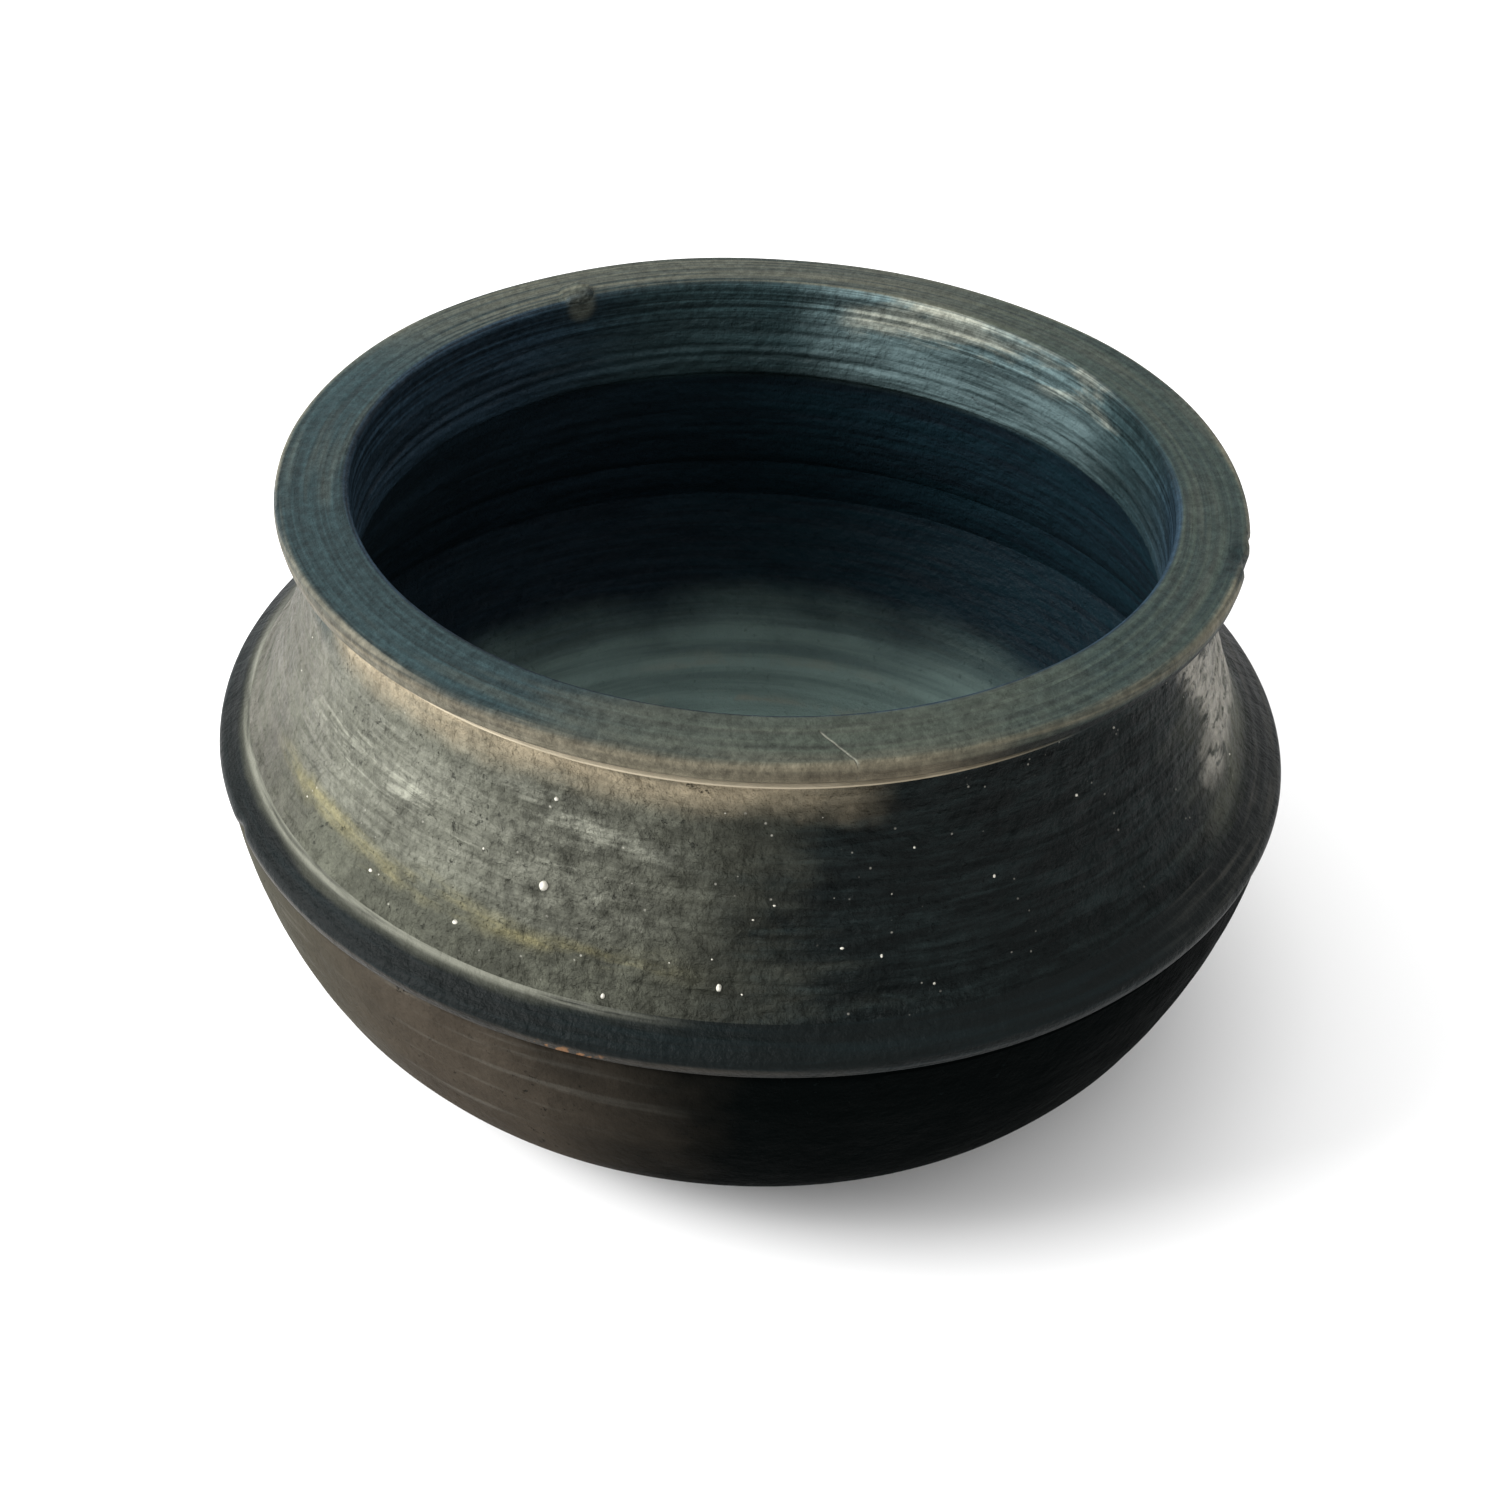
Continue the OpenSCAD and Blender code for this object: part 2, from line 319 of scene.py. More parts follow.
def turned_ring(name, runs, steps):
    """Draws the closed outline in edit mode, spins it round the axis and closes it."""
    line = []
    for run in runs:
        start = 1 if line and (line[-1][0] - run[0][0]).length < 1e-6 else 0
        line += run[start:]
    on_axis = line[0][0].x < 1e-6 and line[-1][0].x < 1e-6
    if not on_axis and (line[0][0] - line[-1][0]).length < 1e-6:
        line.pop()
    deselect_all()
    first = line[0][0]
    bpy.ops.mesh.primitive_plane_add(size=0.001, location=(first.x, 0, first.y))
    ring = bpy.context.active_object
    bpy.ops.object.transform_apply(location=True, rotation=False, scale=False)
    bpy.ops.object.mode_set(mode="EDIT")
    bpy.ops.mesh.select_all(action="SELECT")
    bpy.ops.mesh.merge(type="CENTER")
    for (a, *_), (b, *_) in zip(line, line[1:]):
        bpy.ops.mesh.extrude_region_move(
            TRANSFORM_OT_translate={"value": (b.x - a.x, 0, b.y - a.y)})
    bpy.ops.object.mode_set(mode="OBJECT")
    skin = ring.vertex_groups.new(name="skin")
    raised = ring.vertex_groups.new(name="raised")
    within = ring.vertex_groups.new(name="inside")
    for i, (point, weight, inside) in enumerate(line):
        skin.add([i], weight, "REPLACE")
        within.add([i], float(inside), "REPLACE")
        raised.add([i], min(1.0, max(0.0, (point.y - 2 * MM) / (25 * MM))), "REPLACE")
    bpy.ops.object.mode_set(mode="EDIT")
    bpy.ops.mesh.select_all(action="SELECT")
    if not on_axis:
        bpy.ops.mesh.edge_face_add()
        bpy.ops.mesh.delete(type="ONLY_FACE")
    bpy.ops.object.mode_set(mode="OBJECT")
    screw = ring.modifiers.new("turn", "SCREW")
    screw.angle = math.tau
    screw.steps = screw.render_steps = steps
    screw.use_merge_vertices = True
    screw.merge_threshold = 2e-6
    apply_modifier(ring, screw)
    bpy.ops.object.mode_set(mode="EDIT")
    bpy.ops.mesh.select_all(action="SELECT")
    bpy.ops.mesh.remove_doubles(threshold=2e-6)
    bpy.ops.mesh.normals_make_consistent(inside=False)
    bpy.ops.object.mode_set(mode="OBJECT")
    ring.name = name
    ring.data.name = name
    return ring


# ---------------------------------------------------------------- the potter's hand

def cloud_texture(name, size, depth=2):
    """A procedural texture that moves the surface, made once and shared."""
    texture = bpy.data.textures.get(name)
    if texture is None:
        texture = bpy.data.textures.new(name, "CLOUDS")
        texture.noise_scale = size
        texture.noise_depth = depth
    return texture


def displace(piece, texture, strength, direction="NORMAL", group="skin", middle=0.5,
             stretch=None):
    """Moves a piece's surface by a texture, and applies it."""
    modifier = piece.modifiers.new("displace", "DISPLACE")
    modifier.texture = texture
    modifier.strength = strength
    modifier.direction = direction
    modifier.mid_level = middle
    modifier.vertex_group = group
    if stretch:
        modifier.texture_coords = "OBJECT"
        modifier.texture_coords_object = stretch
    else:
        modifier.texture_coords = "LOCAL"
    apply_modifier(piece, modifier)


def wander(piece):
    """Lets the wall wander a little from round, the same way for every piece."""
    for axis, size in (("X", 61), ("Y", 67), ("Z", 73)):
        texture = cloud_texture("wander_" + axis, size * MM, depth=1)
        displace(piece, texture, finish().wander * 2, axis, group="raised")


def lean_cage():
    """A lattice round the pot that leans the rim back, and leaves the base flat."""
    cage = bpy.data.objects.get("lean_cage")
    if cage:
        return cage
    deselect_all()
    bpy.ops.object.add(type="LATTICE", location=(0, 0, CAGE_HEIGHT / 2))
    cage = bpy.context.active_object
    cage.name = "lean_cage"
    cage.scale = (CAGE_WIDTH, CAGE_WIDTH, CAGE_HEIGHT)
    for label, count in (("u", 2), ("v", 2), ("w", 3)):
        setattr(cage.data, "points_" + label, count)
        setattr(cage.data, "interpolation_type_" + label, "KEY_LINEAR")
    rim_width = RIM_HIGH.x * 2
    lift = finish().rim_lean / 2 * CAGE_WIDTH / rim_width / CAGE_HEIGHT
    for point in cage.data.points:
        if point.co.z > 0.4:
            point.co_deform.z += math.copysign(lift, point.co.y)
    bpy.context.view_layer.update()
    return cage


def lean(piece):
    modifier = piece.modifiers.new("lean", "LATTICE")
    modifier.object = lean_cage()
    apply_modifier(piece, modifier)


def streak_space():
    """An empty whose space is long round the pot and short up it, for brushed streaks."""
    empty = bpy.data.objects.get("streak_space")
    if empty is None:
        deselect_all()
        bpy.ops.object.empty_add(location=(0, 0, 0))
        empty = bpy.context.active_object
        empty.name = "streak_space"
        empty.scale = (14, 14, 1)
        bpy.context.view_layer.update()
    return empty


def dent(piece, place, reach, depth):
    """Presses a small hollow into a piece, deepest at a place and gone within a reach."""
    skin = piece.vertex_groups["skin"].index
    hollow = piece.vertex_groups.new(name="dent")
    for vertex in piece.data.vertices:
        far = (vertex.co - place).length / reach
        held = next((g.weight for g in vertex.groups if g.group == skin), 0.0)
        if far < 1 and held:
            hollow.add([vertex.index], held * (1 - far * far) ** 2, "REPLACE")
    displace(piece, None, -depth, group="dent", middle=0.0)
    piece.vertex_groups.remove(piece.vertex_groups["dent"])


def around(azimuth, radius, height):
    """A place on the pot: degrees from the front towards the right, radius, height."""
    angle = math.radians(azimuth)
    return Vector((radius * math.sin(angle), -radius * math.cos(angle), height))


def rough_lump(name, place, radius, shape, fineness):
    """A small uneven lump, drawn where it lies."""
    deselect_all()
    bpy.ops.mesh.primitive_ico_sphere_add(subdivisions=fineness, radius=radius)
    lump = bpy.context.active_object
    lump.name = lump.data.name = name
    lump.scale = shape
    lump.location = place
    lump.rotation_euler.z = math.atan2(place.y, place.x)
    bpy.ops.object.transform_apply(location=True, rotation=True, scale=True)
    everything = range(len(lump.data.vertices))
    lump.vertex_groups.new(name="skin").add(everything, 1.0, "REPLACE")
    lump.vertex_groups.new(name="raised").add(everything, 1.0, "REPLACE")
    displace(lump, cloud_texture("lumps_%d" % round(radius * 1e5), radius * 0.9), radius * 0.5)
    return lump


def tidy_away_helpers():
    for name in ("lean_cage", "streak_space"):
        helper = bpy.data.objects.get(name)
        if helper:
            deselect_all()
            helper.select_set(True)
            bpy.ops.object.delete()


# ---------------------------------------------------------------- clay finishes

def feed(socket, value):
    """Links an output to an input socket, or sets the input's own value."""
    if isinstance(value, bpy.types.NodeSocket):
        socket.id_data.links.new(value, socket)
    elif socket.type == "RGBA":
        socket.default_value = (*value, 1.0)
    else:
        socket.default_value = value


def shade(colour, amount):
    """A colour made darker or lighter."""
    return tuple(v * amount for v in colour)


class Glaze:
    """Builds one clay finish as a node tree: a ground tone, and colours laid over it.

    Each method that measures or mixes returns an output socket. Azimuths are in degrees
    from the front towards the right, and heights are above the surface the pot rests on.
    """

    def __init__(self, name):
        self.material = bpy.data.materials.new(name)
        self.material.use_nodes = True
        self.tree = self.material.node_tree
        self.tree.nodes.clear()
        self.tone = None
        self.place = self.node("ShaderNodeTexCoord").outputs["Object"]
        self.x, self.y, self.z = self.node("ShaderNodeSeparateXYZ", Vector=self.place).outputs
        square = self.plus(self.times(self.x, self.x), self.times(self.y, self.y))
        self.radius = self.math("MAXIMUM", self.math("SQRT", square), 1e-5)

    def node(self, kind, **values):
        """Adds a node. Values are its inputs by name, or by number as in_0."""
        made = self.tree.nodes.new(kind)
        for key, value in values.items():
            label = key.replace("_", " ")
            if key.startswith("in_"):
                feed(made.inputs[int(key[3:])], value)
            elif label in made.inputs:
                feed(made.inputs[label], value)
            else:
                setattr(made, key, value)
        return made

    def math(self, operation, a, b=0.0):
        return self.node("ShaderNodeMath", operation=operation, in_0=a, in_1=b).outputs[0]

    def times(self, *factors):
        result = factors[0]
        for factor in factors[1:]:
            result = self.math("MULTIPLY", result, factor)
        return result

    def plus(self, *terms):
        result = terms[0]
        for term in terms[1:]:
            result = self.math("ADD", result, term)
        return result

    def vary(self, base, value, amount):
        """A base that varies by a value times an amount."""
        return self.plus(base, self.times(value, amount))

    def ease(self, value, low, high):
        """0 below low, 1 above high, smooth between. Low may be above high."""
        made = self.node("ShaderNodeMapRange", interpolation_type="SMOOTHSTEP",
                         Value=value, From_Min=low, From_Max=high)
        return made.outputs["Result"]

    def band(self, value, low, high, soft):
        """1 between low and high, fading out over soft."""
        return self.times(self.ease(value, low - soft, low + soft),
                          self.ease(value, high + soft, high - soft))

    def side(self, azimuth, full, none, shift=None):
        """1 within full degrees of an azimuth, 0 beyond none degrees of it."""
        angle = math.radians(azimuth)
        towards = self.math("SUBTRACT", self.times(self.x, math.sin(angle)),
                            self.times(self.y, math.cos(angle)))
        share = self.math("DIVIDE", towards, self.radius)
        if shift is not None:
            share = self.plus(share, shift)
        return self.ease(share, math.cos(math.radians(none)), math.cos(math.radians(full)))

    def stretched(self, across, up, outward=0.0):
        """Object space stretched round the pot: across is low, up and outward are high."""
        height = self.times(self.z, up)
        if outward:
            height = self.vary(height, self.radius, outward)
        return self.node("ShaderNodeCombineXYZ", X=self.times(self.x, across),
                         Y=self.times(self.y, across), Z=height).outputs[0]

    def noise(self, vector, scale, detail=4.0, rough=0.55, twist=0.0):
        return self.node("ShaderNodeTexNoise", Vector=vector, Scale=scale, Detail=detail,
                         Roughness=rough, Distortion=twist).outputs["Fac"]

    def sway(self, scale, rough=0.6):
        """A slow value about zero, which keeps the edge of a layer uneven."""
        return self.math("SUBTRACT", self.noise(self.place, scale, 4, rough), 0.5)

    def blend(self, share, under, over):
        """One colour laid over another."""
        return self.node("ShaderNodeMix", data_type="RGBA", in_0=share, in_6=under,
                         in_7=over).outputs[2]

    def lay(self, colour, *shares):
        """Lays a colour over the tone so far, where all the shares are high."""
        self.tone = self.blend(self.times(*shares), self.tone, colour)

    def lighten(self, amount):
        """Multiplies the tone by a number that varies over the surface."""
        self.tone = self.node("ShaderNodeVectorMath", operation="SCALE", in_0=self.tone,
                              Scale=amount).outputs[0]

    def bump(self, height, depth, under=None):
        made = self.node("ShaderNodeBump", Height=height, Distance=depth, Strength=1.0)
        if under is not None:
            feed(made.inputs["Normal"], under)
        return made.outputs[0]

    def finish(self, roughness, normal=None, gloss=0.5, ior=1.5):
        """Closes the tree with the shader, and returns the material."""
        shader = self.node("ShaderNodeBsdfPrincipled", Base_Color=self.tone,
                           Roughness=roughness, Specular_IOR_Level=gloss, IOR=ior)
        if normal is not None:
            feed(shader.inputs["Normal"], normal)
        self.node("ShaderNodeOutputMaterial", Surface=shader.outputs[0])
        return self.material


def fine_grain(g, depth, streak=None, lumps=0.0):
    """The clay's roughness: fine grain, then brushed streaks and soft lumps where wanted."""
    normal = g.bump(g.noise(g.place, 1100, 5, 0.65), depth)
    if streak is not None:
        normal = g.bump(streak, depth * 1.2, normal)
    if lumps:
        soft = g.vary(g.noise(g.place, 330, 4, 0.6), g.noise(g.place, 95, 3, 0.5), 1.6)
        normal = g.bump(soft, lumps, normal)
    return normal


def pits(g, scale, share=0.37):
    """1 in small ragged pits and 0 between them. A larger share opens more of them."""
    some = g.ease(g.noise(g.place, scale * 0.13, 2), 0.44, 0.62)
    return g.times(g.ease(g.noise(g.place, scale, 3, 0.7), share, share - 0.05), some)


def shoulder_finish():
    """The shoulder and neck: brushed grey with a painted sheen on the left, smoked black with
    painted shade on the right.
    """
    c = colours()
    g = Glaze("shoulder_finish")
    drift = g.sway(34)
    small_drift = g.times(drift, 0.16)
    height = g.vary(g.z, drift, 9 * MM)
    brushed = g.noise(g.stretched(58, 620), 1, 6, 0.66, 0.35)
    coarse = g.noise(g.stretched(34, 210), 1, 4, 0.62, 0.5)
    mottle = g.ease(g.noise(g.place, 90, 5, 0.65), 0.32, 0.7)

    g.tone = g.blend(mottle, c.olive, shade(c.olive, 1.55))
    smoked = g.blend(g.ease(brushed, 0.36, 0.68), shade(c.slate, 0.42), shade(c.olive, 0.5))
    g.lay(smoked, g.side(158, 48, 84, g.times(drift, 0.4)))

    # The grey left side: grey with a painted sheen, brushed mauve streaks with a painted sheen
    # at the edge, pale patches of painted sheen, a yellowish smear
    grey_and_painted_sheen = g.times(g.side(-40, 14, 42, small_drift), g.band(height, 79 * MM, 106 * MM, 6 * MM))
    g.lay(c.ash, grey_and_painted_sheen, g.vary(0.25, g.ease(brushed, 0.3, 0.7), 0.6))
    # Brushed streaks at the left edge, lightened by a painted sheen
    g.lay(c.mauve, g.side(-92, 18, 44, small_drift), g.ease(brushed, 0.3, 0.62), 0.8)
    # Pale patches of painted sheen at the front left
    painted_highlight_patches = g.times(g.side(-33, 10, 32, small_drift), g.band(height, 86 * MM, 101 * MM, 3 * MM))
    g.lay(shade(c.ash, 1.9), painted_highlight_patches, g.ease(coarse, 0.5, 0.66), g.ease(brushed, 0.42, 0.62), 0.7)
    ring = g.band(height, 75.6 * MM, 78.4 * MM, 1.9 * MM)
    g.lay(c.straw, ring, g.side(-34, 16, 36), g.ease(coarse, 0.3, 0.62), 0.9)
    g.lay(c.slate, g.side(-88, 20, 34, small_drift), g.ease(height, 101 * MM, 106 * MM))

    # The fire's soot with painted shade on the right, the bare clay under the lip, and painted
    # reflection streaks at the right edge
    # Soot and painted shade on the right side, reaching further round low down near the keel
    smoke = g.side(33, 17, 47, g.vary(g.times(drift, 0.3), g.plus(coarse, -0.5), 0.22))
    low_soot_and_shade = g.times(g.side(48, 44, 60, small_drift), g.ease(height, 76 * MM, 70 * MM))
    soot = g.blend(g.ease(brushed, 0.4, 0.7), c.soot, shade(c.soot, 2.6))
    g.lay(soot, g.math("MAXIMUM", smoke, low_soot_and_shade))
    bare = g.times(g.side(-25, 26, 42, small_drift), g.ease(height, 102 * MM, 109 * MM))
    g.lay(shade(c.tan, 1.3), bare, g.vary(0.5, g.ease(coarse, 0.3, 0.55), 0.5))
    # Pale streaks at the right edge: a painted reflection of the bright surroundings at a
    # grazing angle
    painted_reflection_streaks = g.noise(g.stretched(170, 420, 40), 1, 5, 0.68, 0.6)
    right = g.times(g.side(88, 17, 27, g.times(drift, 0.3)), g.ease(height, 76 * MM, 82 * MM))
    g.lay(shade(c.mauve, 2.6), right, g.ease(painted_reflection_streaks, 0.36, 0.54))

    g.lighten(g.vary(0.62, g.noise(g.place, 52, 3, 0.55, 0.6), 0.76))
    middle = g.times(g.side(-12, 6, 22), g.ease(height, 108 * MM, 102 * MM))
    g.lay(shade(c.olive, 0.4), middle, g.ease(g.noise(g.place, 240, 5, 0.75), 0.3, 0.7), 0.85)
    holes = pits(g, 560)
    # Painted shade in the pits
    g.lay(c.soot, holes, 0.5)
    cells = g.node("ShaderNodeTexVoronoi", Vector=g.place, Scale=420).outputs["Distance"]
    flecks = g.times(g.ease(cells, 0.12, 0.06), g.ease(g.noise(g.place, 130, 1), 0.54, 0.62))
    g.lay(c.quartz, flecks, 0.35)
    rough = g.ease(g.noise(g.place, 420, 5, 0.7), 0.3, 0.72)
    g.lighten(g.plus(0.48, g.times(brushed, 0.6), g.times(rough, 0.4)))
    relief = g.bump(holes, -0.6 * MM, fine_grain(g, 0.45 * MM, brushed, 1.9 * MM))
    return g.finish(g.vary(0.42, mottle, 0.16), relief, gloss=0.06)


def keel_finish():
    """The keel: smoked blue-black, with painted highlights on the hollow above it and on its
    rubbed crest, on the left.
    """
    c = colours()
    g = Glaze("keel_finish")
    drift = g.sway(60)
    brushed = g.noise(g.stretched(30, 1100), 1, 5, 0.62)
    g.tone = g.blend(g.ease(brushed, 0.4, 0.7), shade(c.soot, 0.8), shade(c.slate, 0.2))
    # A painted highlight on the up-facing hollow above the keel, on the left
    above = g.times(g.side(-66, 38, 60, g.times(drift, 0.3)),
                    g.ease(g.vary(g.z, drift, 1.2 * MM), 68.7 * MM, 69.5 * MM))
    g.lay(shade(c.olive, 0.85), above, g.vary(0.55, brushed, 0.5))
    # A brighter painted highlight line along the hollow
    shine = g.times(g.side(-52, 30, 50), g.band(g.z, 69.6 * MM, 70.6 * MM, 0.3 * MM))
    g.lay(c.ash, shine, g.ease(brushed, 0.35, 0.6), 0.8)
    # The crest's lower edge: rubbed bare, and lightened by a painted highlight
    rubbed = g.times(g.ease(g.vary(g.z, drift, 1.4 * MM), 66.0 * MM, 65.2 * MM),
                     g.side(-34, 30, 48, g.times(drift, 0.4)))
    g.lay(c.taupe, rubbed, g.ease(brushed, 0.3, 0.55), 0.45)
    g.lay(shade(c.mauve, 0.4), g.side(80, 20, 40), g.ease(brushed, 0.45, 0.7), 0.7)
    fleck = g.times(g.side(-15, 2, 4), g.ease(g.z, 65.8 * MM, 64.5 * MM), 0.45)
    g.lay(c.rust, fleck, g.ease(g.noise(g.place, 500, 2), 0.52, 0.6))
    relief = fine_grain(g, 0.22 * MM, brushed, 0.6 * MM)
    return g.finish(g.vary(0.34, brushed, 0.2), relief, gloss=0.07)


def bowl_finish():
    """The bowl: burnished brown-grey, blackened by the fire and by painted shade towards the
    right and the bottom.
    """
    c = colours()
    g = Glaze("bowl_finish")
    drift = g.sway(26)
    wiped = g.noise(g.stretched(22, 300), 1, 5, 0.6)
    mottle = g.ease(g.noise(g.place, 70, 5, 0.6), 0.3, 0.7)
    g.tone = g.blend(mottle, shade(c.taupe, 0.75), c.taupe)
    g.lay(c.olive, g.side(-100, 30, 70), 0.6)
    g.lay(c.mauve, g.ease(wiped, 0.55, 0.7), 0.35)
    g.lay(shade(c.soot, 1.6), g.side(160, 60, 100, g.times(drift, 0.5)), 0.62)
    # Soot and painted shade on the right front
    g.lay(shade(c.soot, 0.3), g.side(40, 38, 68, g.times(drift, 0.4)))
    g.lay(c.mauve, g.side(97, 5, 13, g.times(drift, 0.2)), 0.7)
    # Soot and painted shade, darker towards the bottom
    g.lay(c.soot, g.ease(g.vary(g.z, drift, 12 * MM), 24 * MM, 5 * MM), 0.8)
    holes = pits(g, 520)
    # Painted shade in the pits
    g.lay(c.soot, holes, 0.6)
    g.lighten(g.vary(0.72, g.noise(g.place, 44, 4, 0.6, 0.5), 0.56))
    relief = g.bump(holes, -0.3 * MM, fine_grain(g, 0.18 * MM, wiped, 0.7 * MM))
    return g.finish(g.vary(0.4, mottle, 0.15), relief, gloss=0.04, ior=1.08)


def neck_band(g, drift, turned):
    """The band inside the neck: brushed blue-green, with a painted highlight sweeping across the
    back right and a paler painted highlight along its top edge there.
    """
    c = colours()
    lean = g.times(drift, 0.3)
    deep = g.blend(g.ease(turned, 0.4, 0.64), shade(c.navy, 0.6), shade(c.navy, 1.6))
    green = g.blend(g.ease(turned, 0.36, 0.66), shade(c.slate, 0.5), shade(c.slate, 1.2))
    tone = g.blend(g.side(152, 36, 76, lean), deep, green)
    sweep = g.ease(turned, 0.38, 0.66)
    # A painted highlight sweeping across the back right
    lit = g.times(g.side(146, 16, 36, lean), g.vary(0.2, sweep, 0.6))
    tone = g.blend(lit, tone, c.mist)
    # A pale painted highlight along the mouth's edge at the back right
    top = g.times(g.side(140, 14, 32, lean),
                  g.ease(g.vary(g.z, drift, 9 * MM), 110 * MM, 117 * MM))
    patch = g.ease(g.noise(g.stretched(40, 150, 90), 1, 4, 0.6, 0.4), 0.42, 0.62)
    return g.blend(g.times(top, patch, g.vary(0.35, sweep, 0.65)), tone, shade(c.ash, 1.7))


def scratch(g, start, end):
    """1 along a fine straight scratch between two places on the rim's top, 0 off it."""
    way = (end - start).normalized()
    offset = g.math("ABSOLUTE", g.plus(g.times(g.x, -way.y), g.times(g.y, way.x),
                                       start.x * way.y - start.y * way.x))
    along = g.plus(g.times(g.x, way.x), g.times(g.y, way.y), -start.dot(way))
    return g.times(g.ease(offset, 0.34 * MM, 0.1 * MM),
                   g.band(along, 0.0, (end - start).length, 0.6 * MM))


def rim_finish():
    """The flat rim: slate-green with fine turning marks, pale from wear at its edges, with
    painted shade under the lip on the right.
    """
    c = colours()
    g = Glaze("rim_finish")
    drift = g.sway(40)
    lean = g.times(drift, 0.3)
    turned = g.noise(g.stretched(12, 900, 900), 1, 6, 0.62)
    broad = g.noise(g.stretched(14, 160, 160), 1, 3, 0.55)
    g.tone = g.blend(g.ease(turned, 0.36, 0.68), shade(c.slate, 0.65), shade(c.slate, 0.95))
    g.lay(c.olive, g.side(9, 10, 34, lean), g.vary(0.3, broad, 0.6))
    back = g.side(-172, 26, 66, lean)
    g.lay(c.olive, back, g.ease(turned, 0.3, 0.62))
    g.lay(c.moss, g.side(70, 62, 96, lean), g.vary(0.25, g.ease(turned, 0.35, 0.65), 0.4))
    g.lay(c.olive, g.ease(broad, 0.52, 0.66), 0.3)

    # The lip: bare from wear on top of its edge, with painted shade under it on the right,
    # rubbed in front, chipped
    edge = g.times(g.ease(g.vary(g.radius, drift, 2.4 * MM), 96.0 * MM, 97.8 * MM),
                   g.ease(g.z, 118 * MM, 119.5 * MM), g.ease(turned, 0.34, 0.6))
    g.lay(c.tan, edge, g.vary(0.42, back, -0.34))
    # Painted shade under the lip on the right
    g.lay(c.soot, g.ease(g.z, 118.6 * MM, 117.6 * MM), g.side(55, 40, 62))
    lip_face = g.times(g.side(-24, 34, 60, lean), g.ease(g.radius, 94 * MM, 96 * MM),
                       g.ease(g.z, 120.2 * MM, 118.8 * MM))
    g.lay(shade(c.tan, 0.7), lip_face, 0.55)
    g.lay(shade(c.slate, 0.5), g.side(CHIP_AZIMUTH, 2.6, 4.6, g.times(drift, 0.02)),
          g.ease(g.radius, 93.6 * MM, 95.4 * MM), 0.6)

    mouth = Outline(sizes()).mouth_r
    within = g.ease(g.vary(g.radius, drift, 0.8 * MM), mouth + 1.5 * MM, mouth + 0.7 * MM)
    # The band inside the neck, with its painted highlight at the back right
    g.lay(neck_band(g, drift, turned), within)
    lump = around(PELLET_AZIMUTH, mouth + PELLET_IN, 121.5 * MM)
    far = g.node("ShaderNodeVectorMath", operation="DISTANCE", in_0=g.place, in_1=lump)
    g.lay(shade(c.olive, 1.4), g.ease(far.outputs["Value"], 5.4 * MM, 3.4 * MM), 0.6)

    scored = scratch(g, Vector((11.5, -88.2)) * MM, Vector((17.8, -95.7)) * MM)
    g.lay(c.ash, scored, 0.7)
    rough = g.ease(g.noise(g.place, 480, 5, 0.7), 0.3, 0.72)
    g.lighten(g.plus(0.5, g.times(g.ease(turned, 0.28, 0.72), 0.45), g.times(rough, 0.6)))
    relief = g.bump(scored, -0.3 * MM, fine_grain(g, 0.24 * MM, turned, 0.8 * MM))
    return g.finish(g.vary(0.42, turned, 0.16), relief, gloss=0.07)


def bead_finish():
    """The ridge under the lip: rubbed to bright bare clay in front, smoked elsewhere."""
    c = colours()
    g = Glaze("bead_finish")
    drift = g.sway(45, 0.65)
    turned = g.noise(g.stretched(24, 900, 500), 1, 5, 0.6)
    g.tone = g.blend(g.ease(turned, 0.4, 0.65), c.soot, c.slate)
    g.lay(c.tan, g.side(-16, 36, 56, g.times(drift, 0.3)), 0.85)
    g.lay(c.cream, g.side(-16, 26, 42, g.times(drift, 0.4)), g.ease(g.z, 111.5 * MM, 113 * MM),
          g.ease(turned, 0.34, 0.56))
    return g.finish(0.5, fine_grain(g, 0.16 * MM, turned), gloss=0.07)


def inner_finish():
    """The inside: navy-black walls, a brushed blue-green neck with a painted highlight at the
    back right, and a pale green floor with painted highlights low down.
    """
    c = colours()
    g = Glaze("inner_finish")
    drift = g.sway(28)
    turned = g.noise(g.stretched(30, 480, 190), 1, 6, 0.66, 0.3)
    broad = g.noise(g.stretched(12, 120, 90), 1, 4, 0.55)
    g.tone = g.blend(g.ease(turned, 0.4, 0.7), shade(c.navy, 0.5), c.navy)
    g.lay(c.teal, g.side(110, 60, 100, g.times(drift, 0.3)), g.ease(turned, 0.3, 0.65))
    # The band inside the neck, with its painted highlight
    g.lay(neck_band(g, drift, turned), g.ease(g.z, 97 * MM, 99.5 * MM))
    depth = g.vary(g.z, drift, 16 * MM)
    wiped = g.ease(g.noise(g.stretched(9, 200, 60), 1, 5, 0.6), 0.36, 0.62)
    g.lay(c.sage, g.ease(depth, 33 * MM, 10 * MM), g.vary(0.55, wiped, 0.45))
    # Pale painted highlights in arcs low on the curved floor
    painted_highlight_patches = g.ease(g.noise(g.place, 75, 5, 0.65, 0.8), 0.42, 0.6)
    g.lay(shade(c.ash, 1.2), g.ease(depth, 18 * MM, 9 * MM), g.ease(broad, 0.5, 0.66), painted_highlight_patches, 0.7)
    relief = g.bump(pits(g, 620), -0.3 * MM, fine_grain(g, 0.24 * MM, turned, 0.9 * MM))
    return g.finish(g.vary(0.44, turned, 0.16), relief, gloss=0.1)


def grain_finish():
    """White quartz, dusted with clay."""
    c = colours()
    g = Glaze("grain_finish")
    dust = g.ease(g.noise(g.place, 900, 4, 0.6), 0.42, 0.7)
    g.tone = g.blend(g.times(dust, 0.55), c.quartz, c.olive)
    return g.finish(0.55, fine_grain(g, 0.1 * MM), gloss=0.3)


